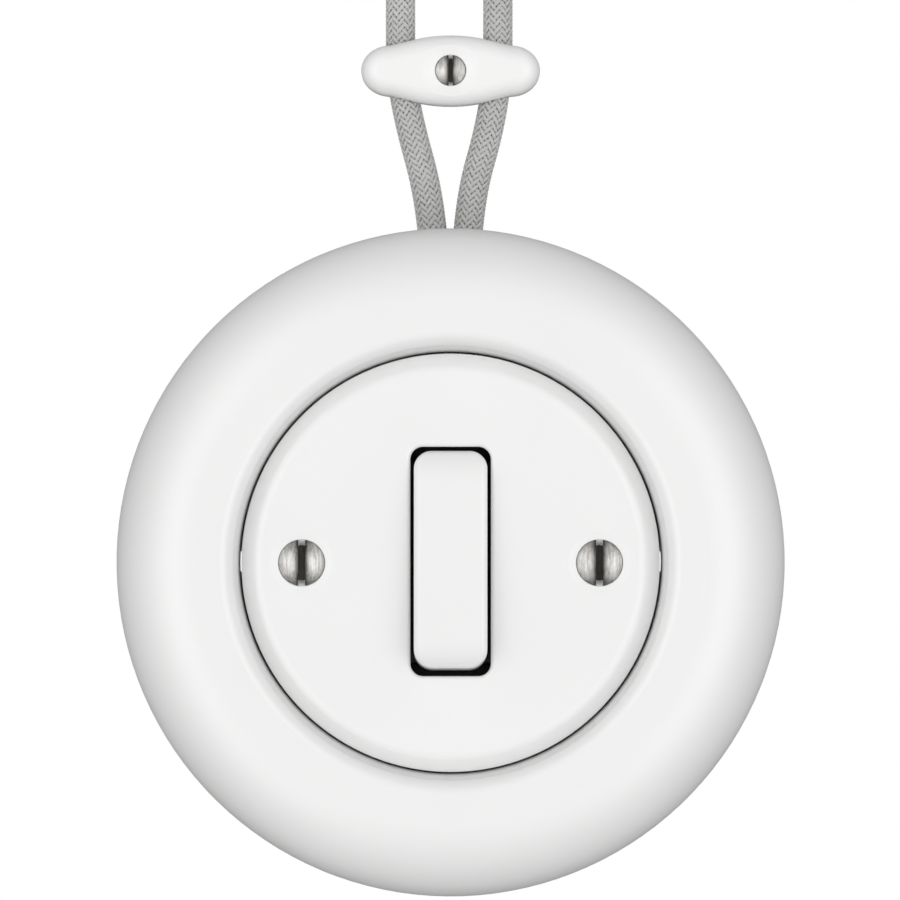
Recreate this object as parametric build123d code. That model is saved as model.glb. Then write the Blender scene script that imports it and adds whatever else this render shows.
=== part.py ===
from build123d import *
import os
from math import atan, degrees, pi, radians, sqrt, tan

# Round porcelain rocker switch for surface wiring, with two single-core
# textile cables held to the wall by two-cable porcelain clips.
# Millimetres. +Z is up and the wall is the plane y = 0; the switch faces -Y.
# "Depth" is the distance out from the wall, so a point at depth d has y = -d.

# Ring housing
RING_R = 50.0
CREST_R = 38.6
LIP_CREST_R = 34.4
LIP_FOOT_R = 32.3
LIP_FOOT_DEPTH = 25.2
CREST_DEPTH = 32.0
WIDEST_DEPTH = 19.0
FOOT_R = 44.0
BORE_R = 31.45
LIP_HEIGHT = 3.2
SHELL = 5.0
BORE_WALL_R = 36.0
BORE_WALL_END = 19.0
SHELL_LEAN = 2.5
FOOT_GAP = 0.3
NOTCH_W = 9.6
NOTCH_H = 4.8
NOTCH_LOW_Z = 36.0
NOTCH_LENGTH = 20.0
CORE_GAP_W = 24.0
CORE_GAP_Z = (20.0, 37.5)
FLANGE_R = 26.5
FLANGE_BACK = 3.5
FLANGE_FRONT = 7.0

# Base plate
BASE_R = 38.0
BASE_THICK = 3.5
CHANNEL_FLOOR = 1.8
CHANNEL_W = 10.0
CHANNEL_Z = (22.0, 40.0)
WALL_SCREW_X = 30.0
WALL_HOLE_R = 2.2
DRIVER_HOLE_R = 5.0
POST_R = 2.9
POST_AT = 16.4
RING_SCREW_AT = 21.2
M3_R = 1.45
M3_CLEARANCE = 0.2
INSERT_R = 1.95
INSERT_LEN = 6.0
INSERT_FLOOR = 0.8
RING_HEAD = (2.6, 1.6)
FRAME_HEAD = (2.7, 1.7)
FRAME_SCREW_END = 12.5
HEAD_SLOT_W = 0.8
CUT = 1.0

# Cover plate
COVER_R = 31.2
COVER_BACK = 25.5
COVER_FRONT = 28.6
COVER_FLAT_R = 28.0
COVER_BEND_R = 29.4
COVER_BEND_DROP = 0.5
COVER_RIM_R = 31.0
COVER_RIM_DROP = 1.9
COVER_RIM_EDGE = 0.2
WINDOW_W = 12.0
WINDOW_H = 34.2
WINDOW_Z = 0.2
WINDOW_CORNER = 1.9
WINDOW_EDGE = 0.7
COVER_SCREW_X = 22.2
COVER_HEAD_R = 3.45
COVER_HEAD_DISH_R = 4.65
COVER_HEAD_DISH = 0.4
COVER_HEAD_SINK = 0.3
COVER_HEAD_DOME = 0.95
COVER_SLOT_W = 1.05
COVER_SCREW_R = 1.75
COVER_SCREW_END = 16.5
BOSS_HOLE_R = 1.95
COVER_BOSS_R = 4.6
SINK_CLEARANCE = 0.1

# Support frame that carries the mechanism
FRAME_R = 27.0
FRAME_BACK = 17.8
FRAME_FRONT = 19.0
FRAME_FLAT_Z = 19.5
OPENING_W = 19.8
OPENING_H = 29.0
EAR_THICK = 1.2
EAR_H = 6.0
EAR_FRONT = 24.2
FRAME_SCREW_HOLE_R = 1.65
TERMINAL_ACCESS_R = 3.0
RIVET_X = 12.0
RIVET_Z = (-12.0, 5.4)
RIVET_R = 0.9
RIVET_HEAD_R = 1.3
RIVET_HEAD_H = 0.6

# Rocker, turning about an axle along X
AXLE_DEPTH = 22.0
AXLE_R = 1.0
RUNNING_GAP = 0.05
ROCKER_REST = -4.5
ROCKER_W = 10.95
ROCKER_H = 32.5
ROCKER_BACK = 1.2
ROCKER_FRONT = 9.6
ROLL_LENGTH = 5.2
ROLL_DROP = 3.3
ROCKER_EDGE = 1.0
ROCKER_CORNER = 2.8
ROCKER_WALL = 1.9
HOLLOW_H = 28.2
HOLLOW_FRONT = 5.6
CARRIER_W = 16.0
BOSS_R = 2.4
CARRIER_H = 30.0
NOSE_R = 2.7
NOSE_END = -7.5
SPRING_BORE_R = 1.75
SPRING_TOP = 3.0
PLUNGER_TIP = -10.1
PLUNGER_TOP = -5.6
PLUNGER_SHOULDER = 1.0
SPRING_WIRE_R = 0.25
SPRING_TURNS = 6
SPRING_END_GAP = 0.05
SPRING_SIDE_GAP = 0.15
FIT = 0.1
PIN_STANDOUT = 0.6

# Switch module and its contacts
MODULE_W = 26.0
MODULE_H = 30.0
MODULE_BACK = 4.0
MODULE_CORNER = 1.5
CAVITY_FLOOR = 6.0
CAVITY_W = 12.4
CAVITY_H = 26.0
POCKET_X = 12.0
POCKET_Z = (7.6, 16.0)
STRIP_THICK = 0.8
ARM_PIVOT_DEPTH = 10.4
ARM_REST = 8.0
ARM_W = 4.4
ARM_H = 18.0
ARM_THICK = 0.9
ARM_BACK = 10.9
ARM_BOSS_R = 1.1
ARM_PIN_R = 0.6
ARM_PIN_X = 3.2
CHEEK_ABOVE_PIN = 1.4
FOOT_HALF = 1.6
SUPPLY_LEG_X = (-5.8, -4.0)
SWITCHED_LEG_X = (4.0, 5.8)
LEG_TOP_Z = 11.6
TAB_X = 11.6
TAB_LOW_Z = 9.0
CONTACT_FOOT_X = -2.2
CONTACT_FOOT_Z = (-11.6, -6.0)
CONTACT_Z = -8.0
CONTACT_R = 1.3
CONTACT_ROUND = 0.4
FIXED_CONTACT_FRONT = 8.7
TERMINAL_X = 9.1
TERMINAL_Z = 11.4
TERMINAL_W = 5.4
TERMINAL_SPAN_Z = (8.2, 14.7)
TERMINAL_BORE_DEPTH = 9.0
TERMINAL_BORE_R = 1.15
TERMINAL_FRONT = 14.6
TERMINAL_HEAD = (2.3, 1.7)
TERMINAL_HEAD_LIFT = 0.4

# Cables: a braided single-core cable on each side of the middle line
CABLE_R = 2.25
CABLE_DEPTH = 4.25
CABLE_IN_X = 2.27
CABLE_OUT_X = {-1: 7.55, 1: 7.13}
CABLE_IN_Z = 36.0
CABLE_LOW_BEND_Z = 52.0
CABLE_HIGH_BEND_Z = 69.5
CABLE_TOP_Z = 112.0
CORE_R = 1.35
CORE_BEND_Z = (29.5, 21.5)
CORE_END_Z = 15.6
CORE_TAIL = 7.0
WIRE_R = 0.7
WIRE_END_Z = 8.6
SLEEVE_R = 2.6
SLEEVE_LOW = 4.5
SLEEVE_LIP = 1.0
FERRULE_COLLAR_R = 1.75
FERRULE_R = 1.0
FERRULE_COLLAR = 2.5
FERRULE_STEP = 1.5
FERRULE_LENGTH = 8.0

# Porcelain clips on the wall
CLIP_Z = (73.9, 97.0)
CLIP_NAMES = ("lower", "upper")
CLIP_LOBE_X = 9.1
CLIP_LOBE_W = 4.35
CLIP_LOBE_H = 3.78
CLIP_MIDDLE_H = 5.3
CLIP_BOW_X = 5.4
CLIP_BOW_H = 4.68
CLIP_FLANK_R = 8.0
CLIP_ROUND = 2.8
CLIP_SPLIT = 4.2
CLIP_FRONT = 9.6
CLIP_HEAD_R = 2.3
CLIP_HEAD_SINK = 1.0
CLIP_HEAD_DOME = 0.6
CLIP_SLOT_W = 0.65
CLIP_SCREW_R = 1.5
CLIP_SCREW_END = 0.3
CLIP_HOLE_CLEARANCE = 0.2
CLIP_DISH_R = 4.6
CLIP_DISH = 1.1
CLIP_SEAM = 0.1
CHANNEL_CLEARANCE = 0.07

PROFILE = Plane(origin=(0, 0, 0), x_dir=(1, 0, 0), z_dir=(0, 0, -1))
SIDES = (("left", -1), ("right", 1))


def front(depth, x=0.0, z=0.0):
    """Sketch plane parallel to the wall, facing the room."""
    return Plane(origin=(x, -depth, z), x_dir=(1, 0, 0), z_dir=(0, -1, 0))


def pad(sketch, back, face, x=0.0, z=0.0):
    """A sketch raised from one depth to another."""
    return extrude(front(back, x, z) * sketch, amount=face - back)


def disc(radius, back, face, x=0.0, z=0.0):
    return pad(Circle(radius), back, face, x, z)


def slab(x_low, x_high, z_low, z_high, back, face):
    middle = ((x_low + x_high) / 2, (z_low + z_high) / 2)
    return pad(Rectangle(x_high - x_low, z_high - z_low), back, face, *middle)


def turned(lines, x=0.0, z=0.0):
    """A closed outline of (radius, depth) turned about an axis along Y."""
    return Pos(x, 0, z) * revolve(PROFILE * make_face(lines), axis=Axis.Y)


def bar_x(radius, x_low, x_high, depth, z=0.0):
    """A round bar along X."""
    plane = Plane(origin=(x_low, -depth, z), x_dir=(0, 1, 0), z_dir=(1, 0, 0))
    return extrude(plane * Circle(radius), amount=x_high - x_low)


def bar_z(radius, z_low, z_high, depth, x=0.0):
    """A round bar along Z."""
    return extrude(Plane(origin=(x, -depth, z_low)) * Circle(radius), amount=z_high - z_low)


def tilted(shape, degrees_about_x, depth):
    """Turn a shape about an axis along X at a depth; positive sends its lower end to the wall."""
    return Pos(0, -depth, 0) * Rot(degrees_about_x, 0, 0) * Pos(0, depth, 0) * shape


def screw(head, shank_r, back, x=0.0, z=0.0):
    """A head made by one of the functions below, with a shank down to a depth."""
    return head + disc(shank_r, back, seat_of(head) + 0.2, x, z)


def seat_of(head):
    """Depth of the lowest point of a screw head."""
    return -head.bounding_box().max.Y


def oval_head(radius, shank_r, rim, dome, slot, x=0.0, z=0.0):
    """Countersunk head with a raised face and a vertical slot; rim is its depth at full radius."""
    cone = radius - shank_r
    lines = Polyline((0, rim + dome), (0, rim - cone), (shank_r, rim - cone), (radius, rim))
    face = ThreePointArc((radius, rim), (radius * 0.52, rim + dome * 0.74), (0, rim + dome))
    head = turned([lines, face], x, z)
    return head - pad(Rectangle(slot, 2.2 * radius), rim - 0.25 * radius, rim + 2 * dome, x, z)


def cheese_head(radius, seat, height, x=0.0, z=0.0):
    """Flat-seated head with a rounded edge and a slot."""
    head = disc(radius, seat, seat + height, x, z)
    head = fillet(head.edges().group_by(Axis.Y)[0], 0.35 * height)
    return head - pad(Rectangle(HEAD_SLOT_W, 2.2 * radius), seat + 0.5 * height, seat + 2 * height, x, z)


def ring_outline():
    """Doughnut shell: round front, curved back towards the wall, a bore wall and an inner flange."""
    half = RING_R - CREST_R
    foot_cos = (FOOT_R - CREST_R) / half
    low_axis = WIDEST_DEPTH / sqrt(1 - foot_cos**2)
    foot_angle = -degrees(atan(sqrt(1 - foot_cos**2) / foot_cos))
    middle = (CREST_R, WIDEST_DEPTH)
    low = EllipticalCenterArc(middle, half, low_axis, start_angle=foot_angle, arc_size=-foot_angle)
    high = EllipticalCenterArc(middle, half, CREST_DEPTH - WIDEST_DEPTH, start_angle=0, arc_size=90)
    crest = Line((CREST_R, CREST_DEPTH), (LIP_CREST_R, CREST_DEPTH))
    lip_middle = (LIP_CREST_R, CREST_DEPTH - LIP_HEIGHT)
    lip = EllipticalCenterArc(lip_middle, LIP_CREST_R - LIP_FOOT_R, LIP_HEIGHT, start_angle=90, arc_size=90)
    inner_half = half - SHELL
    inner_rise = CREST_DEPTH - SHELL - WIDEST_DEPTH
    bore = Polyline(
        (LIP_FOOT_R, CREST_DEPTH - LIP_HEIGHT),
        (BORE_R, LIP_FOOT_DEPTH),
        (BORE_R, BORE_WALL_END),
        (BORE_WALL_R, BORE_WALL_END),
        (BORE_WALL_R, CREST_DEPTH - SHELL),
        (CREST_R, CREST_DEPTH - SHELL),
    )
    hollow = EllipticalCenterArc(middle, inner_half, inner_rise, start_angle=0, arc_size=90)
    rest = Polyline(
        (CREST_R + inner_half, WIDEST_DEPTH),
        (CREST_R + inner_half - SHELL_LEAN, FLANGE_FRONT),
        (FLANGE_R, FLANGE_FRONT),
        (FLANGE_R, FLANGE_BACK),
        (BASE_R + FOOT_GAP, FLANGE_BACK),
        (BASE_R + FOOT_GAP, 0),
        (FOOT_R, 0),
    )
    return [low, high, crest, lip, bore, hollow, rest]


def ring_housing():
    ring = turned(ring_outline())
    low = Plane(origin=(0, 0, NOTCH_LOW_Z), z_dir=(0, 0, 1))
    arch = Pos(0, -NOTCH_H + 0.2) * SlotOverall(NOTCH_W, NOTCH_H)
    notch = extrude(low * arch, amount=NOTCH_LENGTH)
    notch += pad(Rectangle(NOTCH_W, NOTCH_LENGTH), 0, NOTCH_H - 0.2, 0, NOTCH_LOW_Z + NOTCH_LENGTH / 2)
    half = CORE_GAP_W / 2
    notch += slab(-half, half, *CORE_GAP_Z, FLANGE_BACK - CUT, FLANGE_FRONT + CUT)
    ring -= notch
    for x in (-WALL_SCREW_X, WALL_SCREW_X):
        ring -= disc(DRIVER_HOLE_R, FLANGE_BACK - CUT, FLANGE_FRONT + CUT, x)
    for at in (-RING_SCREW_AT, RING_SCREW_AT):
        ring -= disc(M3_R + M3_CLEARANCE, FLANGE_BACK - CUT, FLANGE_FRONT + CUT, at, at)
    return ring


def base_plate():
    base = disc(BASE_R, 0, BASE_THICK)
    base -= slab(-CHANNEL_W / 2, CHANNEL_W / 2, *CHANNEL_Z, CHANNEL_FLOOR, BASE_THICK + CUT)
    for x in (-WALL_SCREW_X, WALL_SCREW_X):
        base -= disc(WALL_HOLE_R, -CUT, BASE_THICK + CUT, x)
    for side in (-1, 1):
        base += disc(POST_R, BASE_THICK - 0.5, FRAME_BACK, -side * POST_AT, side * POST_AT)
        base -= disc(INSERT_R, FRAME_BACK - INSERT_LEN, FRAME_BACK + CUT, -side * POST_AT, side * POST_AT)
        base -= disc(INSERT_R, INSERT_FLOOR, BASE_THICK + CUT, side * RING_SCREW_AT, side * RING_SCREW_AT)
    return base


def insert(back, face, x, z):
    """Brass bush pressed into the base for an M3 screw."""
    return disc(INSERT_R, back, face, x, z) - disc(M3_R, back - CUT, face + CUT, x, z)


def ring_inserts():
    places = [(side * RING_SCREW_AT, side * RING_SCREW_AT) for side in (-1, 1)]
    return [insert(INSERT_FLOOR, BASE_THICK, x, z) for x, z in places]


def frame_inserts():
    places = [(-side * POST_AT, side * POST_AT) for side in (-1, 1)]
    return [insert(FRAME_BACK - INSERT_LEN, FRAME_BACK, x, z) for x, z in places]


def ring_screws():
    places = [(side * RING_SCREW_AT, side * RING_SCREW_AT) for side in (-1, 1)]
    radius, height = RING_HEAD
    heads = [(cheese_head(radius, FLANGE_FRONT, height, x, z), x, z) for x, z in places]
    return [screw(head, M3_R, INSERT_FLOOR + 0.1, x, z) for head, x, z in heads]


def frame_screws():
    places = [(-side * POST_AT, side * POST_AT) for side in (-1, 1)]
    radius, height = FRAME_HEAD
    heads = [(cheese_head(radius, FRAME_FRONT, height, x, z), x, z) for x, z in places]
    return [screw(head, M3_R, FRAME_SCREW_END, x, z) for head, x, z in heads]


def through_frame(sketch, x=0.0, z=0.0):
    return pad(sketch, FRAME_BACK - CUT, FRAME_FRONT + CUT, x, z)


def support_frame():
    """Round steel plate with an opening for the rocker and two bent-up ears for its axle."""
    plate = disc(FRAME_R, FRAME_BACK, FRAME_FRONT)
    flat = FRAME_R - FRAME_FLAT_Z
    for end in (-1, 1):
        plate -= through_frame(Rectangle(2.2 * FRAME_R, flat), 0, end * (FRAME_FLAT_Z + flat / 2))
    plate -= through_frame(RectangleRounded(OPENING_W, OPENING_H, 1))
    for x in (-1, 1):
        inner = x * OPENING_W / 2
        outer = inner + x * EAR_THICK
        low, high = min(inner, outer), max(inner, outer)
        ear = slab(low, high, -EAR_H / 2, EAR_H / 2, FRAME_BACK, EAR_FRONT)
        ear -= bar_x(AXLE_R + RUNNING_GAP, low - CUT, high + CUT, AXLE_DEPTH)
        plate += ear
        plate -= through_frame(Circle(COVER_SCREW_R), x * COVER_SCREW_X)
        plate -= through_frame(Circle(FRAME_SCREW_HOLE_R), -x * POST_AT, x * POST_AT)
        plate -= through_frame(Circle(TERMINAL_ACCESS_R), x * TERMINAL_X, TERMINAL_Z)
        for z in RIVET_Z:
            plate -= through_frame(Circle(RIVET_R), x * RIVET_X, z)
    return plate


def module_rivets():
    """Four tubular rivets that hold the module to the frame."""
    rivets = []
    for x in (-RIVET_X, RIVET_X):
        for z in RIVET_Z:
            head = disc(RIVET_HEAD_R, FRAME_FRONT, FRAME_FRONT + RIVET_HEAD_H, x, z)
            rivets.append(head + disc(RIVET_R, MODULE_BACK, FRAME_FRONT + 0.1, x, z))
    return rivets


def module_body():
    """Insulating block with a contact chamber and two terminal pockets open at the top."""
    body = pad(RectangleRounded(MODULE_W, MODULE_H, MODULE_CORNER), MODULE_BACK, FRAME_BACK)
    body -= pad(RectangleRounded(CAVITY_W, CAVITY_H, 1), CAVITY_FLOOR, FRAME_BACK + CUT)
    body -= slab(-POCKET_X, POCKET_X, *POCKET_Z, CAVITY_FLOOR, FRAME_BACK + CUT)
    for x in (-RIVET_X, RIVET_X):
        for z in RIVET_Z:
            body -= disc(RIVET_R, MODULE_BACK - CUT, FRAME_BACK + CUT, x, z)
    return body


def terminal(side):
    """Brass cage with a wire bore from above and a threaded hole for its clamp screw."""
    x = side * TERMINAL_X
    half = TERMINAL_W / 2
    low, high = TERMINAL_SPAN_Z
    cage = slab(x - half, x + half, low, high, CAVITY_FLOOR + STRIP_THICK, TERMINAL_FRONT)
    cage -= bar_z(TERMINAL_BORE_R, low - CUT, high + CUT, TERMINAL_BORE_DEPTH, x)
    return cage - disc(M3_R, TERMINAL_BORE_DEPTH, TERMINAL_FRONT + CUT, x, TERMINAL_Z)


def terminal_screw(side):
    x = side * TERMINAL_X
    radius, height = TERMINAL_HEAD
    head = cheese_head(radius, TERMINAL_FRONT + TERMINAL_HEAD_LIFT, height, x, TERMINAL_Z)
    return screw(head, M3_R, TERMINAL_BORE_DEPTH + WIRE_R + 0.1, x, TERMINAL_Z)


def strip(x_low, x_high, z_low, z_high):
    """A stretch of brass strip on the floor of the contact chamber."""
    return slab(x_low, x_high, z_low, z_high, CAVITY_FLOOR, CAVITY_FLOOR + STRIP_THICK)


def arm_bracket():
    """Brass strip from the supply terminal to two cheeks that carry the contact arm's pin."""
    leg_low, leg_high = SUPPLY_LEG_X
    bracket = strip(leg_low, ARM_PIN_X, -FOOT_HALF, FOOT_HALF)
    bracket += strip(leg_low, leg_high, -FOOT_HALF, LEG_TOP_Z)
    bracket += strip(-TAB_X, leg_high, TAB_LOW_Z, LEG_TOP_Z)
    for low in (-ARM_PIN_X, ARM_PIN_X - STRIP_THICK):
        high = low + STRIP_THICK
        cheek = slab(low, high, -FOOT_HALF, FOOT_HALF, CAVITY_FLOOR, ARM_PIVOT_DEPTH + CHEEK_ABOVE_PIN)
        bracket += cheek - bar_x(ARM_PIN_R + RUNNING_GAP, low - CUT, high + CUT, ARM_PIVOT_DEPTH)
    return bracket


def fixed_contact():
    """Brass strip from under the contact arm to the switched terminal."""
    leg_low, leg_high = SWITCHED_LEG_X
    foot_low, foot_high = CONTACT_FOOT_Z
    contact = strip(CONTACT_FOOT_X, leg_high, foot_low, foot_high)
    contact += strip(leg_low, leg_high, foot_low, LEG_TOP_Z)
    return contact + strip(leg_low, TAB_X, TAB_LOW_Z, LEG_TOP_Z)


def fixed_contact_tip():
    tip = disc(CONTACT_R, CAVITY_FLOOR + STRIP_THICK, FIXED_CONTACT_FRONT, 0, CONTACT_Z)
    return fillet(tip.edges().group_by(Axis.Y)[0], CONTACT_ROUND)


def contact_arm():
    """Brass see-saw with a pivot boss on its back."""
    arm = slab(-ARM_W / 2, ARM_W / 2, -ARM_H / 2, ARM_H / 2, ARM_BACK, ARM_BACK + ARM_THICK)
    arm += bar_x(ARM_BOSS_R, -ARM_W / 2, ARM_W / 2, ARM_PIVOT_DEPTH)
    arm -= bar_x(ARM_PIN_R, -ARM_PIN_X, ARM_PIN_X, ARM_PIVOT_DEPTH)
    return tilted(arm, ARM_REST, ARM_PIVOT_DEPTH)


def arm_pin():
    return bar_x(ARM_PIN_R, -ARM_PIN_X, ARM_PIN_X, ARM_PIVOT_DEPTH)


def moving_contact_tip():
    tip = disc(CONTACT_R, ARM_BACK - STRIP_THICK, ARM_BACK, 0, CONTACT_Z)
    return tilted(tip, ARM_REST, ARM_PIVOT_DEPTH)


def rocker():
    """Porcelain key: flat face that rolls down at both ends, rounded edges, hollow from behind."""
    half = ROCKER_H / 2
    face_z = half - ROLL_LENGTH
    shoulder = ROCKER_FRONT - ROLL_DROP
    low_roll = EllipticalCenterArc((-face_z, shoulder), ROLL_LENGTH, ROLL_DROP, start_angle=90, arc_size=90)
    high_roll = EllipticalCenterArc((face_z, shoulder), ROLL_LENGTH, ROLL_DROP, start_angle=0, arc_size=90)
    face = Line((-face_z, ROCKER_FRONT), (face_z, ROCKER_FRONT))
    walls = Polyline((-half, shoulder), (-half, ROCKER_BACK), (half, ROCKER_BACK), (half, shoulder))
    side_view = Plane(origin=(-ROCKER_W / 2, -AXLE_DEPTH, 0), x_dir=(0, 0, 1), z_dir=(1, 0, 0))
    key = extrude(side_view * make_face([low_roll, face, high_roll, walls]), amount=ROCKER_W)
    outline = RectangleRounded(ROCKER_W, ROCKER_H, ROCKER_CORNER)
    key &= pad(outline, AXLE_DEPTH + ROCKER_BACK, AXLE_DEPTH + ROCKER_FRONT + 1)
    key = fillet([edge for edge in key.edges() if on_front_rim(edge)], ROCKER_EDGE)
    inner = Rectangle(ROCKER_W - 2 * ROCKER_WALL, HOLLOW_H)
    key -= pad(inner, AXLE_DEPTH, AXLE_DEPTH + HOLLOW_FRONT)
    return tilted(key, ROCKER_REST, AXLE_DEPTH)


def on_front_rim(edge):
    """True for the edges between the key's face and its side walls and corners."""
    middle = edge.center()
    in_front = -middle.Y > AXLE_DEPTH + ROCKER_BACK + 0.5
    along_depth = abs((edge % 0.5).Y) > 0.97
    on_side = abs(abs(middle.X) - ROCKER_W / 2) < 0.01
    return in_front and not along_depth and (on_side or edge.geom_type == GeomType.BSPLINE)


def rocker_carrier():
    """Moulded carrier inside the rocker, with axle bosses and a nose for the spring and plunger."""
    core = Rectangle(ROCKER_W - 2 * ROCKER_WALL - FIT, HOLLOW_H - 2 * FIT)
    carrier = pad(core, AXLE_DEPTH, AXLE_DEPTH + HOLLOW_FRONT - FIT)
    carrier += pad(Rectangle(CARRIER_W, CARRIER_H), AXLE_DEPTH - AXLE_R, AXLE_DEPTH + ROCKER_BACK)
    carrier += disc(NOSE_R, AXLE_DEPTH + NOSE_END, AXLE_DEPTH)
    carrier -= disc(SPRING_BORE_R, AXLE_DEPTH + NOSE_END - CUT, AXLE_DEPTH + SPRING_TOP)
    boss_low = ROCKER_W / 2 + FIT
    boss_high = OPENING_W / 2 - 2 * FIT
    carrier += bar_x(BOSS_R, -boss_high, -boss_low, AXLE_DEPTH)
    carrier += bar_x(BOSS_R, boss_low, boss_high, AXLE_DEPTH)
    for pin in axle_pins():
        carrier -= pin
    return tilted(carrier, ROCKER_REST, AXLE_DEPTH)


def axle_pins():
    """Two stub pins pressed into the carrier, one for each ear of the frame."""
    low = SPRING_BORE_R + CUT
    high = OPENING_W / 2 + EAR_THICK + PIN_STANDOUT
    return [bar_x(AXLE_R, -high, -low, AXLE_DEPTH), bar_x(AXLE_R, low, high, AXLE_DEPTH)]


def toggle_plunger():
    """Round-nosed plunger that slides in the carrier's nose and presses on the contact arm."""
    radius = SPRING_BORE_R - RUNNING_GAP
    tip = AXLE_DEPTH + PLUNGER_TIP
    top = AXLE_DEPTH + PLUNGER_TOP
    shoulder = tip + PLUNGER_SHOULDER
    side = Polyline((radius, shoulder), (radius, top), (0, top), (0, tip))
    nose = ThreePointArc((0, tip), (radius * 0.71, tip + 0.3), (radius, shoulder))
    return tilted(turned([side, nose]), ROCKER_REST, AXLE_DEPTH)


def toggle_spring():
    """Compression spring in the carrier's nose, behind the plunger."""
    low = AXLE_DEPTH + PLUNGER_TOP + SPRING_WIRE_R + SPRING_END_GAP
    height = AXLE_DEPTH + SPRING_TOP - SPRING_WIRE_R - SPRING_END_GAP - low
    coil_r = SPRING_BORE_R - SPRING_WIRE_R - SPRING_SIDE_GAP
    coil = Helix(pitch=height / SPRING_TURNS, height=height, radius=coil_r)
    wire = sweep(Plane(coil @ 0, z_dir=coil % 0) * Circle(SPRING_WIRE_R), path=coil)
    return tilted(Pos(0, -low, 0) * Rot(90, 0, 0) * wire, ROCKER_REST, AXLE_DEPTH)


def cover_plate():
    """Porcelain disc with a gently rolled edge, a window for the rocker and two screw dishes."""
    rim = (COVER_RIM_R, COVER_FRONT - COVER_RIM_DROP)
    bend = (COVER_BEND_R, COVER_FRONT - COVER_BEND_DROP)
    flat = (COVER_FLAT_R, COVER_FRONT)
    edge = (COVER_R, rim[1] - COVER_RIM_EDGE)
    side = Polyline((0, COVER_FRONT), (0, COVER_BACK), (COVER_R, COVER_BACK), edge, rim)
    slope = Line(rim, bend)
    roll = TangentArc(flat, bend, tangent=(1, 0))
    cover = turned([side, slope, roll, Line(flat, (0, COVER_FRONT))])
    window = RectangleRounded(WINDOW_W, WINDOW_H, WINDOW_CORNER)
    cover -= pad(window, COVER_BACK - CUT, COVER_FRONT + CUT, 0, WINDOW_Z)
    rim = [edge for edge in cover.edges() if abs(edge.center().Y + COVER_FRONT) < 0.01 and edge.length < 40]
    cover = fillet(rim, WINDOW_EDGE)
    rim_depth = COVER_FRONT - COVER_HEAD_SINK
    for side in (-1, 1):
        x = side * COVER_SCREW_X
        cover += disc(COVER_BOSS_R, FRAME_FRONT, COVER_BACK + 0.5, x)
        cover -= dish(COVER_HEAD_DISH_R, COVER_HEAD_DISH, COVER_FRONT, x)
        cover -= turned(sink_outline(COVER_HEAD_R, COVER_SCREW_R, rim_depth, COVER_FRONT + CUT), x)
        cover -= disc(BOSS_HOLE_R, FRAME_FRONT - CUT, COVER_FRONT, x)
    return cover


def dish(radius, depth, face, x=0.0, z=0.0):
    """Ball that leaves a round hollow of this radius and depth in a flat face."""
    ball_r = (radius**2 + depth**2) / (2 * depth)
    return Pos(x, -face + depth - ball_r, z) * Sphere(ball_r)


def sink_outline(head_r, shank_r, rim, above):
    """Countersink under a screw's head, open at the front."""
    low = rim - (head_r - shank_r)
    throat = shank_r + SINK_CLEARANCE
    radius = head_r + SINK_CLEARANCE
    return Polyline((0, low), (throat, low), (radius, rim), (radius, above), (0, above), close=True)


def cover_screw(side):
    x = side * COVER_SCREW_X
    rim = COVER_FRONT - COVER_HEAD_SINK
    head = oval_head(COVER_HEAD_R, COVER_SCREW_R, rim, COVER_HEAD_DOME, COVER_SLOT_W, x)
    return screw(head, COVER_SCREW_R, COVER_SCREW_END, x)


def cable_points(side):
    """Route of a braided cable: out of the housing, apart, then straight up under the clips."""
    return [
        (side * CABLE_IN_X, -CABLE_DEPTH, CABLE_IN_Z),
        (side * CABLE_IN_X, -CABLE_DEPTH, CABLE_LOW_BEND_Z),
        (side * CABLE_OUT_X[side], -CABLE_DEPTH, CABLE_HIGH_BEND_Z),
        (side * CABLE_OUT_X[side], -CABLE_DEPTH, CABLE_TOP_Z),
    ]


def core_points(side):
    """Route of the insulated core from the end of the braid to its terminal."""
    return [
        (side * CABLE_IN_X, -CABLE_DEPTH, CABLE_IN_Z),
        (side * CABLE_IN_X, -CABLE_DEPTH, CORE_BEND_Z[0]),
        (side * TERMINAL_X, -TERMINAL_BORE_DEPTH, CORE_BEND_Z[1]),
        (side * TERMINAL_X, -TERMINAL_BORE_DEPTH, CORE_END_Z),
    ]


def bend_radii(points):
    """The largest arc that each corner's two runs allow, with a stretch of straight left."""
    radii = []
    corners = [Vector(*point) for point in points]
    for before, at, after in zip(corners, corners[1:], corners[2:]):
        turn = (at - before).get_angle(after - at)
        shorter = min((at - before).length, (after - at).length)
        radii.append(0.45 * shorter / tan(radians(turn / 2)))
    return radii


def tube(points, radius):
    path = FilletPolyline(*points, radius=bend_radii(points))
    section = Plane(path @ 0, z_dir=path % 0) * Circle(radius)
    return sweep(section, path=path), path.length


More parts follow.
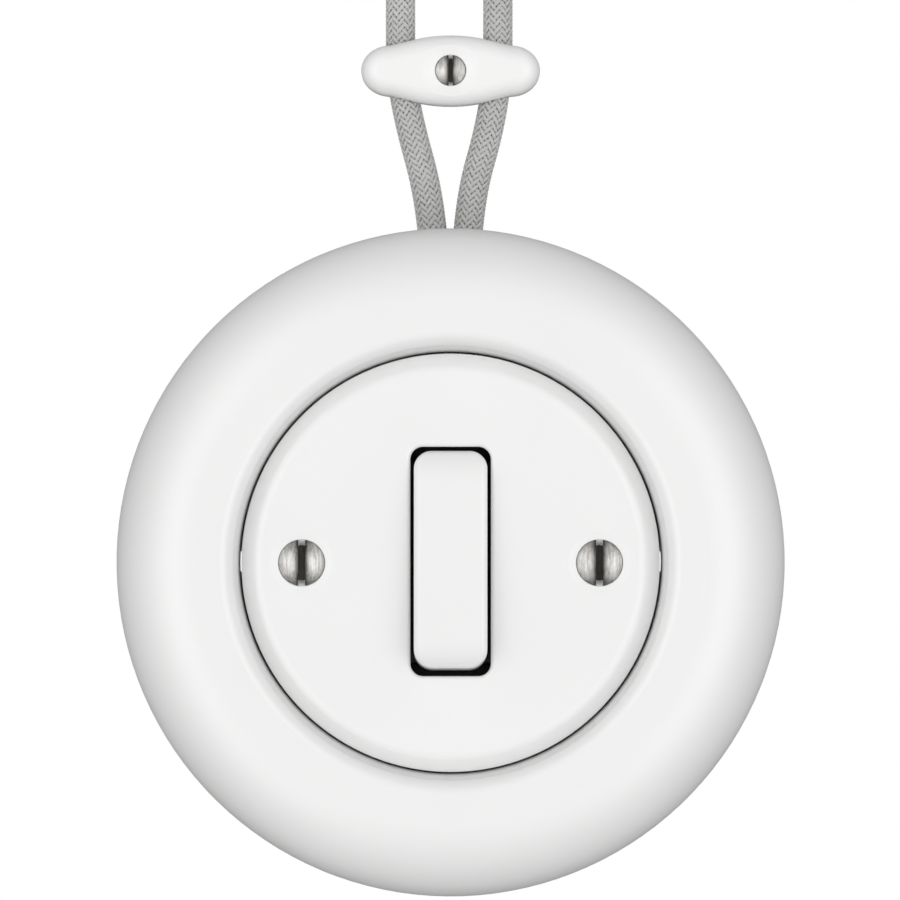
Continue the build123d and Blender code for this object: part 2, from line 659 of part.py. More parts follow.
def clip_outline():
    """Two rounded lobes over the cables and a wider, gently bowed middle around the screw."""
    top = ThreePointArc((-CLIP_BOW_X, CLIP_BOW_H), (0, CLIP_MIDDLE_H), (CLIP_BOW_X, CLIP_BOW_H))
    right = EllipticalCenterArc((CLIP_LOBE_X, 0), CLIP_LOBE_W, CLIP_LOBE_H, start_angle=-90, arc_size=180)
    low = ThreePointArc((CLIP_BOW_X, -CLIP_BOW_H), (0, -CLIP_MIDDLE_H), (-CLIP_BOW_X, -CLIP_BOW_H))
    left = EllipticalCenterArc((-CLIP_LOBE_X, 0), CLIP_LOBE_W, CLIP_LOBE_H, start_angle=90, arc_size=180)
    flanks = [
        Line((side * CLIP_BOW_X, end * CLIP_BOW_H), (side * CLIP_LOBE_X, end * CLIP_LOBE_H))
        for side in (-1, 1)
        for end in (-1, 1)
    ]
    outline = make_face([top, right, low, left, *flanks])
    shoulders = [v for v in outline.vertices() if abs(abs(v.X) - CLIP_LOBE_X) < 0.01]
    return fillet(shoulders, CLIP_FLANK_R)


def clip_hole(z):
    return disc(CLIP_SCREW_R + CLIP_HOLE_CLEARANCE, -CUT, CLIP_FRONT + CUT, 0, z)


def clip_base(z, channels):
    base = pad(clip_outline(), 0, CLIP_SPLIT, 0, z) - clip_hole(z)
    for channel in channels:
        base -= channel
    return base


def clip_cap(z, channels):
    """Domed cap with a shallow dish round its screw."""
    cap = pad(clip_outline(), CLIP_SPLIT + CLIP_SEAM, CLIP_FRONT, 0, z)
    for channel in channels:
        cap -= channel
    cap = fillet(cap.edges().group_by(Axis.Y)[0], CLIP_ROUND)
    cap = cap - dish(CLIP_DISH_R, CLIP_DISH, CLIP_FRONT, 0, z) - clip_hole(z)
    sink = sink_outline(CLIP_HEAD_R, CLIP_SCREW_R, CLIP_FRONT - CLIP_HEAD_SINK, CLIP_FRONT + CUT)
    return cap - turned(sink, 0, z)


def clip_screw(z):
    rim = CLIP_FRONT - CLIP_HEAD_SINK
    head = oval_head(CLIP_HEAD_R, CLIP_SCREW_R, rim, CLIP_HEAD_DOME, CLIP_SLOT_W, 0, z)
    return screw(head, CLIP_SCREW_R, CLIP_SCREW_END, 0, z)


def sleeve(side):
    """Shrunk sleeve over the cut end of the braid."""
    x = side * CABLE_OUT_X[side]
    low = CABLE_TOP_Z - SLEEVE_LOW
    outer = bar_z(SLEEVE_R, low, CABLE_TOP_Z + SLEEVE_LIP, CABLE_DEPTH, x)
    bore = bar_z(CABLE_R, low - CUT, CABLE_TOP_Z, CABLE_DEPTH, x)
    return outer - bore - bar_z(CORE_R, CABLE_TOP_Z - CUT, CABLE_TOP_Z + SLEEVE_LIP + CUT, CABLE_DEPTH, x)


def core_tail(side):
    x = side * CABLE_OUT_X[side]
    return bar_z(CORE_R, CABLE_TOP_Z, CABLE_TOP_Z + CORE_TAIL, CABLE_DEPTH, x)


def ferrule(side):
    """Crimped end sleeve on the core: a flared collar and a thin tube."""
    x = side * CABLE_OUT_X[side]
    end = CABLE_TOP_Z + CORE_TAIL
    collar = bar_z(FERRULE_COLLAR_R, end - FERRULE_COLLAR, end + FERRULE_STEP, CABLE_DEPTH, x)
    collar -= bar_z(CORE_R, end - FERRULE_COLLAR - CUT, end, CABLE_DEPTH, x)
    return collar + bar_z(FERRULE_R, end + FERRULE_STEP - 0.1, end + FERRULE_LENGTH, CABLE_DEPTH, x)


def build():
    parts = {
        "ring_housing": ring_housing(),
        "base_plate": base_plate(),
        "ring_inserts": ring_inserts(),
        "frame_inserts": frame_inserts(),
        "ring_screws": ring_screws(),
        "frame_screws": frame_screws(),
        "support_frame": support_frame(),
        "module_body": module_body(),
        "module_rivets": module_rivets(),
        "terminal_supply": terminal(-1),
        "terminal_switched": terminal(1),
        "terminal_screw_supply": terminal_screw(-1),
        "terminal_screw_switched": terminal_screw(1),
        "arm_bracket": arm_bracket(),
        "fixed_contact": fixed_contact(),
        "fixed_contact_tip": fixed_contact_tip(),
        "contact_arm": contact_arm(),
        "arm_pin": arm_pin(),
        "moving_contact_tip": moving_contact_tip(),
        "rocker": rocker(),
        "rocker_carrier": rocker_carrier(),
        "axle_pins": axle_pins(),
        "toggle_plunger": toggle_plunger(),
        "toggle_spring": toggle_spring(),
        "cover_plate": cover_plate(),
    }
    channels = []
    for name, side in SIDES:
        parts["cover_screw_" + name] = cover_screw(side)
        cable, length = tube(cable_points(side), CABLE_R)
        parts["cable_" + name] = cable
        report_cord("cable_" + name, cable_points(side), cable, length, CABLE_R)
        core, length = tube(core_points(side), CORE_R)
        parts["core_" + name] = core
        report_cord("core_" + name, core_points(side), core, length, CORE_R)
        parts["wire_" + name] = bar_z(WIRE_R, WIRE_END_Z, CORE_END_Z, TERMINAL_BORE_DEPTH, side * TERMINAL_X)
        parts["sleeve_" + name] = sleeve(side)
        parts["core_tail_" + name] = core_tail(side)
        parts["ferrule_" + name] = ferrule(side)
        channels.append(tube(cable_points(side), CABLE_R + CHANNEL_CLEARANCE)[0])
    for name, z in zip(CLIP_NAMES, CLIP_Z):
        parts["clip_base_" + name] = clip_base(z, channels)
        parts["clip_cap_" + name] = clip_cap(z, channels)
        parts["clip_screw_" + name] = clip_screw(z)
    return parts


def report_cord(name, points, solid, length, radius):
    radii = ", ".join(f"{value:.1f}" for value in bend_radii(points))
    section = pi * radius**2
    print(f"{name}: radii {radii} mm, length {length:.1f} mm, "
          f"volume {solid.volume:.1f} of {section * length:.1f} mm3")


def main():
    os.makedirs("parts", exist_ok=True)
    for name, shape in build().items():
        solid = Compound(children=shape) if isinstance(shape, list) else shape
        export_step(solid, f"parts/{name}.step")


main()
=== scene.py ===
"""Looks of a round porcelain surface switch with two braided cables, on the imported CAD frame."""

import math
import random

import bpy
import numpy as np
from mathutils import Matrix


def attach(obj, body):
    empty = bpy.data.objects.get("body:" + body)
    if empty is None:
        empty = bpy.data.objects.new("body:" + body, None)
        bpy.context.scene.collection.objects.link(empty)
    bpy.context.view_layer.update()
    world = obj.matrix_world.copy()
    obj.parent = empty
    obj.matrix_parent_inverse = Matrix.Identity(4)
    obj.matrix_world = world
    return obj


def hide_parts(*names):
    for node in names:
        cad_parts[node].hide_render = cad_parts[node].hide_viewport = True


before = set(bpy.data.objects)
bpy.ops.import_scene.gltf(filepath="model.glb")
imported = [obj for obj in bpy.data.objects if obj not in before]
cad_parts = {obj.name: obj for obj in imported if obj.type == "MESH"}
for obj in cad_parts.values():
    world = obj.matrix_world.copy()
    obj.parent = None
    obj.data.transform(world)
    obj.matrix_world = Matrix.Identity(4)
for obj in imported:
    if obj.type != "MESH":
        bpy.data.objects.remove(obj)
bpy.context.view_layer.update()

# Camera: a long lens level with the switch, straight in front of it.
LENS_MM = 600.0
SENSOR_MM = 36.0
VIEW_WIDTH = 0.1347
WIDEST_Y = -0.019
VIEW_X = -0.00009
VIEW_Z = 0.01682

# Room: a pale floor well below the switch, and a soft sky of wide lobes of light.
FLOOR_Z = -2.0
FLOOR_HALF = 1.6
CLIP_NEAR = 0.05
CLIP_FAR = 30.0
SKY_STRENGTH = 1.06
SKY_FRONT = 0.06
SKY_BACK = 0.14
# Azimuth and elevation in degrees, sharpness and brightness; each front lobe has a twin on the other side.
SKY_LOBES = ((30.0, -30.0, 4.0, 0.13), (30.0, 0.0, 4.0, 2.10), (30.0, 60.0, 4.0, 0.22))
BACK_LOBE = (180.0, 50.0, 6.0, 0.35)
# The upright strip straight ahead where no lamp stands: its half width in x of the ray, and its depth.
DARK_BAND_WIDTH = 0.36
DARK_BAND_DEPTH = 0.93

# Cable routes as (x, z) in metres: up out of the ring, apart, then straight up the wall.
CABLE_DEPTH = 0.00425
CABLE_ROUTES = {
    "left": (
        (-0.00232, 0.036), (-0.00196, 0.0506), (-0.00752, 0.0707), (-0.00755, 0.0812), (-0.00755, 0.112),
    ),
    "right": (
        (0.00232, 0.036), (0.00190, 0.0514), (0.00711, 0.0694), (0.00713, 0.0851), (0.00713, 0.112),
    ),
}
SPLINE_STEPS = 64

# Braid: yarns of two directions, each over one column and under the next.
YARNS_EACH_WAY = 14
BRAID_PITCH = 0.0143
STEPS_PER_WAVE = 12
YARN_MIDDLE_R = 0.00211
YARN_RISE = 0.00014
YARN_CROWN = 0.00020
YARN_WIDTH = 0.00058
YARN_SQUARENESS = 1.4
YARN_ACROSS = (-1.0, -0.55, 0.0, 0.55, 1.0)
INNER_R = 0.00180
INNER_SIDES = 28
INNER_ROWS = 60
YARN_START = 0.25
YARN_START_SPREAD = 0.06
YARN_WIDTH_SPREAD = (0.95, 1.03)
YARN_UV_SHIFT = 3.7
MM = 1000.0
BRAID_SEED = 7

SLOT_NODES = {
    "porcelain": ("ring_housing", "cover_plate", "rocker", "base_plate"),
    "clip_porcelain": ("clip_base_lower", "clip_base_upper", "clip_cap_lower", "clip_cap_upper"),
    "moulding": ("module_body",),
    "carrier_plastic": ("rocker_carrier",),
    "screw_steel": ("cover_screw_left", "cover_screw_right", "clip_screw_lower", "clip_screw_upper"),
    # Frame, its screws and rivets: near-black, matte, painted shade that keeps the window gap dark.
    "black_steel": ("support_frame", "frame_screws", "module_rivets"),
    "zinc_steel": ("ring_screws", "axle_pins", "arm_pin", "toggle_spring"),
    "brass": (
        "ring_inserts", "frame_inserts", "terminal_supply", "terminal_switched",
        "terminal_screw_supply", "terminal_screw_switched", "arm_bracket", "fixed_contact",
        "contact_arm", "toggle_plunger",
    ),
    "contact_silver": ("fixed_contact_tip", "moving_contact_tip"),
    "core_sheath": ("core_left", "core_right", "core_tail_left", "core_tail_right"),
    "copper": ("wire_left", "wire_right"),
    "sleeve_rubber": ("sleeve_left", "sleeve_right"),
    "tinned": ("ferrule_left", "ferrule_right"),
}


class Look:
    """A material under construction: one Principled shader and the nodes that feed it."""

    def __init__(self, name):
        self.material = bpy.data.materials.new(name)
        self.material.use_nodes = True
        self.tree = self.material.node_tree
        self.shader = self.tree.nodes["Principled BSDF"]
        self.place = self.tree.nodes.new("ShaderNodeTexCoord").outputs["Object"]

    def node(self, kind, **values):
        made = self.tree.nodes.new(kind)
        for key, value in values.items():
            setattr(made, key, value)
        return made

    def link(self, source, target):
        self.tree.links.new(source, target)

    def constants(self, **values):
        """Shader inputs that are the same all over, with _ for a space."""
        for key, value in values.items():
            self.shader.inputs[key.replace("_", " ")].default_value = value

    def stretched(self, scale, source=None):
        made = self.node("ShaderNodeMapping")
        made.inputs["Scale"].default_value = scale
        self.link(source or self.place, made.inputs["Vector"])
        return made.outputs["Vector"]

    def noise(self, scale, detail=3.0, roughness=0.5, source=None):
        made = self.node("ShaderNodeTexNoise")
        made.inputs["Scale"].default_value = scale
        made.inputs["Detail"].default_value = detail
        made.inputs["Roughness"].default_value = roughness
        self.link(source or self.place, made.inputs["Vector"])
        return made.outputs["Fac"]

    def cells(self, scale):
        made = self.node("ShaderNodeTexVoronoi")
        made.inputs["Scale"].default_value = scale
        self.link(self.place, made.inputs["Vector"])
        return made.outputs["Distance"]

    def ramp(self, source, low, high, start=0.0, end=1.0):
        made = self.node("ShaderNodeValToRGB")
        first, last = made.color_ramp.elements
        first.position, first.color = start, (*low, 1.0)
        last.position, last.color = end, (*high, 1.0)
        self.link(source, made.inputs["Fac"])
        return made.outputs["Color"]

    def spread(self, source, low, high):
        made = self.node("ShaderNodeMapRange")
        made.inputs["To Min"].default_value = low
        made.inputs["To Max"].default_value = high
        self.link(source, made.inputs["Value"])
        return made.outputs["Result"]

    def blend(self, first, second, share=1.0):
        made = self.node("ShaderNodeMixRGB", blend_type="MULTIPLY")
        made.inputs["Fac"].default_value = share
        self.link(first, made.inputs["Color1"])
        self.link(second, made.inputs["Color2"])
        return made.outputs["Color"]

    def sum(self, *sources):
        total = sources[0]
        for source in sources[1:]:
            made = self.node("ShaderNodeMath", operation="ADD")
            self.link(total, made.inputs[0])
            self.link(source, made.inputs[1])
            total = made.outputs[0]
        return total

    def off_middle(self, axis, ragged):
        """How far a point is from the middle of its piece along an axis, with a ragged edge."""
        split = self.node("ShaderNodeSeparateXYZ")
        self.link(self.tree.nodes.new("ShaderNodeTexCoord").outputs["Generated"], split.inputs[0])
        off = self.node("ShaderNodeMath", operation="SUBTRACT")
        self.link(split.outputs[axis], off.inputs[0])
        off.inputs[1].default_value = 0.5
        size = self.node("ShaderNodeMath", operation="ABSOLUTE")
        self.link(off.outputs[0], size.inputs[0])
        return self.sum(size.outputs[0], self.spread(ragged, -0.03, 0.03))

    def color(self, source):
        self.link(source, self.shader.inputs["Base Color"])

    def roughness(self, source):
        self.link(source, self.shader.inputs["Roughness"])

    def bump(self, source, strength, distance):
        made = self.node("ShaderNodeBump")
        made.inputs["Strength"].default_value = strength
        made.inputs["Distance"].default_value = distance
        self.link(source, made.inputs["Height"])
        self.link(made.outputs["Normal"], self.shader.inputs["Normal"])


def glazed(name, white):
    """Porcelain body under a clear glaze that ripples very slightly, with rare faint specks."""
    look = Look(name)
    tone = look.ramp(look.noise(55.0, 2.0), [0.985 * c for c in white], white, 0.3, 0.7)
    specks = look.ramp(look.cells(420.0), (0.86, 0.83, 0.78), (1.0, 1.0, 1.0), 0.015, 0.035)
    look.color(look.blend(tone, specks, 0.5))
    look.roughness(look.spread(look.noise(140.0, 3.0), 0.36, 0.48))
    ripple = look.spread(look.noise(70.0, 1.0), 0.0, 3.0)
    peel = look.noise(520.0, 2.0)
    look.bump(look.sum(ripple, peel), 0.10, 0.00004)
    look.constants(IOR=1.5, Coat_Weight=0.35, Coat_Roughness=0.14, Coat_IOR=1.5)
    return look.material


def moulded(name, dark, light, grain=2600.0, depth=0.00003):
    """Moulded plastic with a fine spark-eroded grain and slight flow marks."""
    look = Look(name)
    flow = look.noise(1.0, 3.0, 0.6, look.stretched((160.0, 160.0, 45.0)))
    look.color(look.ramp(flow, dark, light, 0.3, 0.7))
    look.roughness(look.spread(look.noise(grain, 2.0), 0.42, 0.62))
    look.bump(look.noise(grain, 3.0, 0.6), 0.35, depth)
    look.constants(IOR=1.49)
    return look.material


def brushed(name, dark, light, streak, low=0.07, high=0.17):
    """Bright metal drawn along one axis: streaks in tone, gloss and height, tarnish, and a darker band
    along the middle over the slot: partly slot dirt, partly painted shade in the slot with a painted dark
    reflection beside it.
    """
    look = Look(name)
    lines = look.noise(1.0, 5.0, 0.65, look.stretched(streak))
    tone = look.ramp(lines, dark, light, 0.34, 0.66)
    tarnish = look.ramp(look.noise(900.0, 4.0, 0.6), (0.72, 0.70, 0.68), (1.0, 1.0, 1.0), 0.32, 0.55)
    worn = look.blend(tone, tarnish, 0.5)
    # Darker band along the middle of the head: partly slot dirt, partly painted shade in the slot and a
    # painted dark reflection beside it.
    slot_dirt_and_painted_shade = look.ramp(look.off_middle("X", lines), (0.32, 0.31, 0.30), (1.0, 1.0, 1.0), 0.08, 0.14)
    look.color(look.blend(worn, slot_dirt_and_painted_shade))
    look.roughness(look.spread(lines, low, high))
    look.bump(lines, 0.16, 0.00003)
    look.constants(Metallic=1.0)
    return look.material


def plated(name, dark, light, cell, low=0.24, high=0.42, metal=1.0):
    """Plated or pressed metal with a faint grain of cells and handling marks."""
    look = Look(name)
    grain = look.cells(cell)
    look.color(look.ramp(look.sum(grain, look.noise(0.4 * cell, 4.0)), dark, light, 0.35, 1.1))
    look.roughness(look.spread(look.noise(0.7 * cell, 4.0, 0.6), low, high))
    look.bump(look.noise(2.0 * cell, 3.0), 0.25, 0.00002)
    look.constants(Metallic=metal)
    return look.material


def yarn_look():
    """Rayon yarn: parallel filaments along each ribbon, a soft sheen and slight shade changes."""
    look = Look("braid_yarn")
    uv = look.node("ShaderNodeUVMap", uv_map="yarn").outputs["UV"]
    filaments = look.noise(1.0, 2.0, 0.5, look.stretched((0.55, 11.0, 1.0), uv))
    shade = look.ramp(filaments, (0.49, 0.49, 0.486), (0.56, 0.56, 0.555), 0.30, 0.70)
    drift = look.ramp(look.noise(160.0, 2.0), (0.90, 0.90, 0.89), (1.0, 1.0, 1.0), 0.35, 0.65)
    look.color(look.blend(shade, drift, 1.0))
    look.roughness(look.spread(filaments, 0.55, 0.80))
    look.bump(filaments, 0.35, 0.00003)
    look.constants(IOR=1.45, Sheen_Weight=0.08, Sheen_Roughness=0.45)
    return look.material


def lining_look():
    """Layer under the braid that shows in the gaps, near-black: its dark tone is painted shade between the
    yarns.
    """
    look = Look("braid_lining")
    fibres = look.noise(1.0, 4.0, 0.6, look.stretched((3200.0, 3200.0, 500.0)))
    # Near-black tone: painted shade in the gaps between the yarns.
    look.color(look.ramp(fibres, (0.035, 0.035, 0.034), (0.075, 0.075, 0.073), 0.3, 0.7))
    look.roughness(look.spread(fibres, 0.75, 0.95))
    look.bump(fibres, 0.4, 0.00005)
    look.constants(IOR=1.45)
    return look.material


def rubber_look():
    """Heat-shrink sleeve: satin grey with fine lengthways drawing marks."""
    look = Look("sleeve_rubber")
    marks = look.noise(1.0, 4.0, 0.6, look.stretched((1800.0, 1800.0, 160.0)))
    look.color(look.ramp(marks, (0.40, 0.40, 0.395), (0.48, 0.48, 0.475), 0.3, 0.7))
    look.roughness(look.spread(marks, 0.38, 0.55))
    look.bump(marks, 0.25, 0.00004)
    look.constants(IOR=1.5)
    return look.material


def strand_look(name, dark, light):
    """Bare strands twisted round the axis of a wire."""
    look = Look(name)
    strands = look.noise(1.0, 3.0, 0.5, look.stretched((2600.0, 2600.0, 350.0)))
    look.color(look.ramp(strands, dark, light, 0.3, 0.7))
    look.roughness(look.spread(strands, 0.22, 0.42))
    look.bump(strands, 0.5, 0.00006)
    look.constants(Metallic=1.0)
    return look.material


def floor_look():
    """Pale painted screed."""
    look = Look("pale_floor")
    cloud = look.noise(1.4, 3.0)
    look.color(look.ramp(cloud, (0.70, 0.70, 0.695), (0.75, 0.75, 0.745), 0.3, 0.7))
    look.roughness(look.spread(look.noise(40.0, 4.0), 0.6, 0.85))
    look.bump(look.noise(220.0, 4.0), 0.2, 0.0005)
    return look.material


def make_looks():
    white = (0.835, 0.837, 0.832)
    return {
        "porcelain": glazed("porcelain_glaze", white),
        # Same porcelain as the ring, set a little whiter: painted light for the brighter-lit clip.
        "clip_porcelain": glazed("clip_glaze", (0.860, 0.860, 0.855)),
        "moulding": moulded("dark_moulding", (0.055, 0.050, 0.046), (0.085, 0.078, 0.072)),
        # Near-black carrier: its tone is painted shade for the window gap around the rocker.
        "carrier_plastic": moulded("painted_gap_shade_moulding", (0.020, 0.020, 0.020), (0.032, 0.031, 0.030)),
        # Near-black, non-metal tone for the frame, its screws and rivets: painted shade for the window
        # gap.
        "black_steel": plated(
            "black_steel", (0.012, 0.012, 0.013), (0.028, 0.028, 0.030), 900.0, 0.45, 0.65, 0.0
        ),
        "screw_steel": brushed(
            "screw_steel", (0.22, 0.215, 0.207), (0.44, 0.43, 0.417), (2600.0, 2600.0, 260.0)
        ),
        "zinc_steel": plated("zinc_plate", (0.48, 0.49, 0.51), (0.74, 0.75, 0.77), 900.0),
        "brass": plated("brass_strip", (0.62, 0.43, 0.17), (0.86, 0.66, 0.33), 1200.0),
        "contact_silver": plated(
            "contact_silver", (0.70, 0.69, 0.66), (0.90, 0.89, 0.87), 1500.0, 0.15, 0.30
        ),
        "core_sheath": moulded(
            "core_sheath", (0.055, 0.053, 0.052), (0.075, 0.073, 0.072), 3200.0, 0.00002
        ),
        "copper": strand_look("copper_strands", (0.62, 0.28, 0.15), (0.90, 0.52, 0.34)),
        "sleeve_rubber": rubber_look(),
        "tinned": plated("tinned_copper", (0.58, 0.58, 0.57), (0.82, 0.82, 0.80), 1800.0, 0.18, 0.34),
    }


def dress_nodes(looks):
    for slot, names in SLOT_NODES.items():
        for name in names:
            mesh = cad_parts[name].data
            mesh.materials.clear()
            mesh.materials.append(looks[slot])


def route_points(name):
    return [(x, -CABLE_DEPTH, z) for x, z in CABLE_ROUTES[name]]


def route_line(name):
    """Points along the smooth spline through the cable's route."""
    curve = bpy.data.curves.new("route", "CURVE")
    curve.dimensions = "3D"
    points = route_points(name)
    spline = curve.splines.new("NURBS")
    spline.points.add(len(points) - 1)
    for point, place in zip(spline.points, points):
        point.co = (*place, 1.0)
    spline.order_u = 3
    spline.use_endpoint_u = True
    spline.resolution_u = SPLINE_STEPS
    holder = bpy.data.objects.new("route", curve)
    bpy.context.scene.collection.objects.link(holder)
    bpy.context.view_layer.update()
    mesh = bpy.data.meshes.new_from_object(holder.evaluated_get(bpy.context.evaluated_depsgraph_get()))
    line = np.array([v.co for v in mesh.vertices])
    bpy.data.objects.remove(holder)
    bpy.data.meshes.remove(mesh)
    bpy.data.curves.remove(curve)
    return line


class Along:
    """Places on and round a line that lies in a plane of constant depth."""

    def __init__(self, line):
        steps = np.linalg.norm(np.diff(line, axis=0), axis=1)
        self.line = line
        self.reach = np.concatenate(([0.0], np.cumsum(steps)))
        self.length = self.reach[-1]
        self.heading = np.gradient(line, self.reach, axis=0)

    def sample(self, values, distance):
        return np.stack([np.interp(distance, self.reach, values[:, i]) for i in range(3)], axis=-1)

    def around(self, distance, angle, radius):
        distance = np.clip(distance, 0.0, self.length)
        centre = self.sample(self.line, distance)
        heading = self.sample(self.heading, distance)
        heading /= np.linalg.norm(heading, axis=-1, keepdims=True)
        outward = np.zeros_like(heading)
        outward[..., 1] = -1.0
        aside = np.cross(heading, outward)
        spoke = np.cos(angle)[..., None] * aside + np.sin(angle)[..., None] * outward
        return centre + radius[..., None] * spoke


def grid_faces(first, rows, columns):
    return [
        (
            first + i * columns + j,
            first + i * columns + j + 1,
            first + (i + 1) * columns + j + 1,
            first + (i + 1) * columns + j,
        )
        for i in range(rows - 1)
        for j in range(columns - 1)
    ]


def yarn_grid(along, way, index, dice):
    """Vertices of one yarn ribbon: rows along it, a crowned section across it."""
    waves = YARNS_EACH_WAY // 2
    rows = int(along.length / BRAID_PITCH * waves * STEPS_PER_WAVE) + 1
    lean = math.atan2(2 * math.pi * YARN_MIDDLE_R, BRAID_PITCH)
    start = (index + dice.uniform(-YARN_START_SPREAD, YARN_START_SPREAD)) * 2 * math.pi / YARNS_EACH_WAY
    width = YARN_WIDTH * dice.uniform(*YARN_WIDTH_SPREAD)
    distance = np.linspace(0.0, along.length, rows)
    angle = start + way * distance * 2 * math.pi / BRAID_PITCH
    wave = np.clip(YARN_SQUARENESS * np.sin(waves * angle), -1.0, 1.0)
    rise = np.sin(0.5 * math.pi * wave) * way * YARN_RISE
    across = np.array(YARN_ACROSS)
    offset = 0.5 * width * across
    distances = distance[:, None] - way * math.sin(lean) * offset[None, :]
    angles = angle[:, None] + math.cos(lean) * offset[None, :] / YARN_MIDDLE_R
    radii = (YARN_MIDDLE_R + rise)[:, None] - YARN_CROWN * across[None, :] ** 2
    places = along.around(distances, angles, radii)
    run = distance / math.cos(lean) * MM
    aside = 0.5 * (across + 1.0)
    uv = np.stack(np.broadcast_arrays(run[:, None] + YARN_UV_SHIFT * index, aside[None, :]), axis=-1)
    return places.reshape(-1, 3), uv.reshape(-1, 2), rows


def inner_tube(along, first):
    """The lining under the braid, closed at both ends."""
    distance = np.repeat(np.linspace(0.0, along.length, INNER_ROWS), INNER_SIDES)
    angle = np.tile(np.arange(INNER_SIDES) * 2 * math.pi / INNER_SIDES, INNER_ROWS)
    places = along.around(distance, angle, np.full_like(distance, INNER_R))
    faces = []
    for i in range(INNER_ROWS - 1):
        for j in range(INNER_SIDES):
            k = (j + 1) % INNER_SIDES
            low, high = first + i * INNER_SIDES, first + (i + 1) * INNER_SIDES
            faces.append((low + j, low + k, high + k, high + j))
    faces.append(tuple(first + j for j in reversed(range(INNER_SIDES))))
    faces.append(tuple(first + (INNER_ROWS - 1) * INNER_SIDES + j for j in range(INNER_SIDES)))
    return places, faces


def braided_cable(name, looks):
    dice = random.Random(BRAID_SEED + len(name))
    line = route_line(name)
    along = Along(line)
    places, uvs, faces = [], [], []
    count = 0
    for way in (1, -1):
        for index in range(YARNS_EACH_WAY):
            spots, uv, rows = yarn_grid(along, way, index + YARN_START, dice)
            faces += grid_faces(count, rows, len(YARN_ACROSS))
            places.append(spots)
            uvs.append(uv)
            count += len(spots)
    yarn_faces = len(faces)
    spots, tube = inner_tube(along, count)
    places.append(spots)
    uvs.append(np.zeros((len(spots), 2)))
    faces += tube
    mesh = bpy.data.meshes.new("braid_" + name)
    mesh.from_pydata(np.concatenate(places).tolist(), [], faces)
    uv_all = np.concatenate(uvs)
    layer = mesh.uv_layers.new(name="yarn")
    corners = np.empty(len(mesh.loops), np.int32)
    mesh.loops.foreach_get("vertex_index", corners)
    layer.data.foreach_set("uv", uv_all[corners].astype(np.float32).ravel())
    mesh.materials.append(looks[0])
    mesh.materials.append(looks[1])
    kinds = np.zeros(len(faces), np.int32)
    kinds[yarn_faces:] = 1
    mesh.polygons.foreach_set("material_index", kinds)
    mesh.shade_smooth()
    mesh.update()
    cable = bpy.data.objects.new("braid_" + name, mesh)
    bpy.context.scene.collection.objects.link(cable)
    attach(cable, "switch_body")
    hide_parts("cable_" + name)


def direction(azimuth, elevation):
    a, e = math.radians(azimuth), math.radians(elevation)
    return (math.sin(a) * math.cos(e), -math.cos(a) * math.cos(e), math.sin(e))


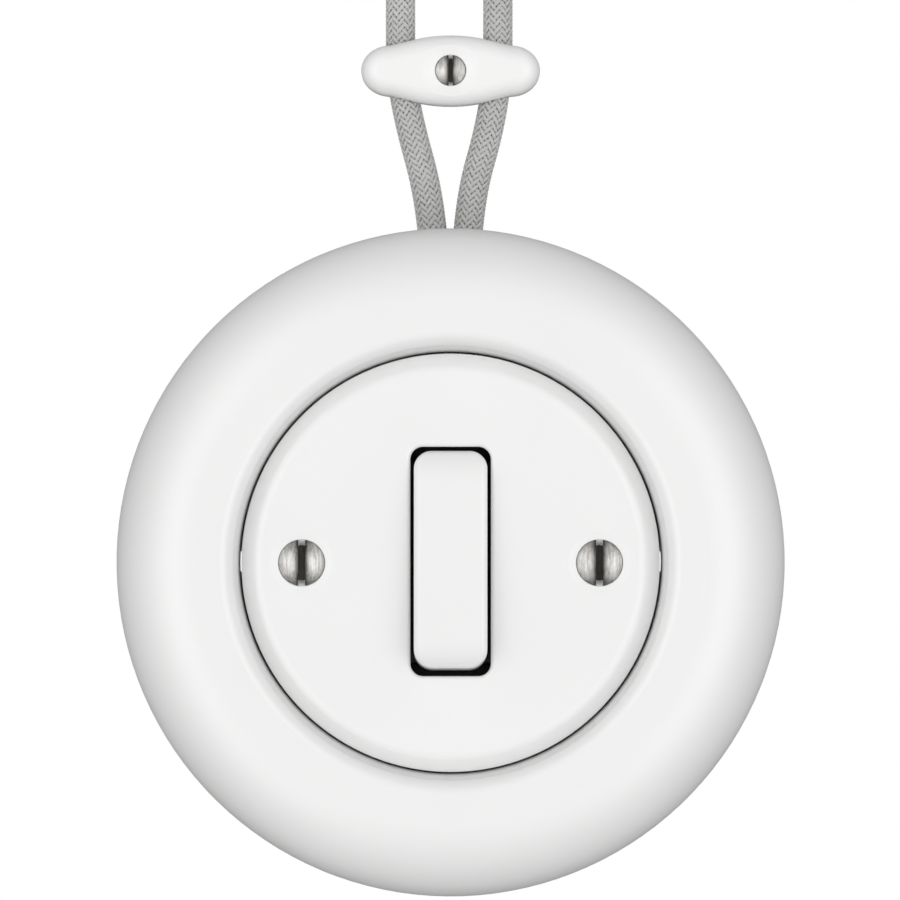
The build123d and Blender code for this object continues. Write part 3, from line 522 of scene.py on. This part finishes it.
class Sky:
    """World nodes: smooth lobes of light for the object, plain white for the camera."""

    def __init__(self):
        world = bpy.data.worlds.new("soft_studio")
        bpy.context.scene.world = world
        world.use_nodes = True
        self.tree = world.node_tree
        self.tree.nodes.clear()
        coordinate = self.tree.nodes.new("ShaderNodeTexCoord")
        self.ray = coordinate.outputs["Generated"]
        split = self.tree.nodes.new("ShaderNodeSeparateXYZ")
        self.tree.links.new(self.ray, split.inputs[0])
        self.x, self.y = split.outputs["X"], split.outputs["Y"]

    def feed(self, socket, value):
        if isinstance(value, (int, float)):
            socket.default_value = value
        else:
            self.tree.links.new(value, socket)

    def math(self, operation, first, second=0.0):
        made = self.tree.nodes.new("ShaderNodeMath")
        made.operation = operation
        self.feed(made.inputs[0], first)
        self.feed(made.inputs[1], second)
        return made.outputs[0]

    def lobe(self, azimuth, elevation, sharpness, brightness):
        dot = self.tree.nodes.new("ShaderNodeVectorMath")
        dot.operation = "DOT_PRODUCT"
        self.tree.links.new(self.ray, dot.inputs[0])
        dot.inputs[1].default_value = direction(azimuth, elevation)
        off = self.math("SUBTRACT", dot.outputs["Value"], 1.0)
        falloff = self.math("EXPONENT", self.math("MULTIPLY", off, sharpness))
        return self.math("MULTIPLY", falloff, brightness)

    def total(self, values):
        result = values[0]
        for value in values[1:]:
            result = self.math("ADD", result, value)
        return result

    def front_share(self):
        """1 in front of the switch, 0 behind it."""
        return self.math("LESS_THAN", self.y, 0.0)

    def dark_band(self):
        """Dims the upright strip straight ahead, where no lamp stands."""
        across = self.math("DIVIDE", self.x, DARK_BAND_WIDTH)
        fall = self.math("EXPONENT", self.math("MULTIPLY", self.math("MULTIPLY", across, across), -1.0))
        dim = self.math("MULTIPLY", self.math("MULTIPLY", fall, DARK_BAND_DEPTH), self.front_share())
        return self.math("SUBTRACT", 1.0, dim)

    def build(self):
        lamps = [
            self.lobe(sign * azimuth, elevation, sharpness, brightness)
            for azimuth, elevation, sharpness, brightness in SKY_LOBES
            for sign in (-1, 1)
        ]
        masked = self.math("MULTIPLY", self.total(lamps), self.dark_band())
        front = self.math("MULTIPLY", self.front_share(), SKY_FRONT - SKY_BACK)
        base = self.math("ADD", front, SKY_BACK)
        light = self.tree.nodes.new("ShaderNodeBackground")
        glow = self.total([masked, base, self.lobe(*BACK_LOBE)])
        self.feed(light.inputs["Strength"], self.math("MULTIPLY", glow, SKY_STRENGTH))
        white = self.tree.nodes.new("ShaderNodeBackground")
        white.inputs["Color"].default_value = (1.0, 1.0, 1.0, 1.0)
        light.inputs["Color"].default_value = (1.0, 1.0, 1.0, 1.0)
        path = self.tree.nodes.new("ShaderNodeLightPath")
        mix = self.tree.nodes.new("ShaderNodeMixShader")
        output = self.tree.nodes.new("ShaderNodeOutputWorld")
        self.tree.links.new(path.outputs["Is Camera Ray"], mix.inputs["Fac"])
        self.tree.links.new(light.outputs[0], mix.inputs[1])
        self.tree.links.new(white.outputs[0], mix.inputs[2])
        self.tree.links.new(mix.outputs[0], output.inputs["Surface"])


def make_floor():
    h = FLOOR_HALF
    mesh = bpy.data.meshes.new("floor")
    corners = [(-h, -h, FLOOR_Z), (h, -h, FLOOR_Z), (h, h, FLOOR_Z), (-h, h, FLOOR_Z)]
    mesh.from_pydata(corners, [], [(0, 1, 2, 3)])
    mesh.materials.append(floor_look())
    floor = bpy.data.objects.new("floor", mesh)
    bpy.context.scene.collection.objects.link(floor)


def make_camera():
    data = bpy.data.cameras.new("camera")
    data.type = "PERSP"
    data.lens = LENS_MM
    data.sensor_width = SENSOR_MM
    data.clip_start = CLIP_NEAR
    data.clip_end = CLIP_FAR
    camera = bpy.data.objects.new("camera", data)
    away = 0.5 * VIEW_WIDTH * LENS_MM / (0.5 * SENSOR_MM)
    camera.location = (VIEW_X, WIDEST_Y - away, VIEW_Z)
    camera.rotation_euler = (0.5 * math.pi, 0.0, 0.0)
    bpy.context.scene.collection.objects.link(camera)
    bpy.context.scene.camera = camera


def set_tones():
    settings = bpy.context.scene.view_settings
    settings.view_transform = "Standard"
    settings.look = "None"
    settings.exposure = 0.0
    settings.gamma = 1.0


make_camera()
yarn_looks = (yarn_look(), lining_look())
for cable_name in CABLE_ROUTES:
    braided_cable(cable_name, yarn_looks)
dress_nodes(make_looks())
make_floor()
Sky().build()
set_tones()
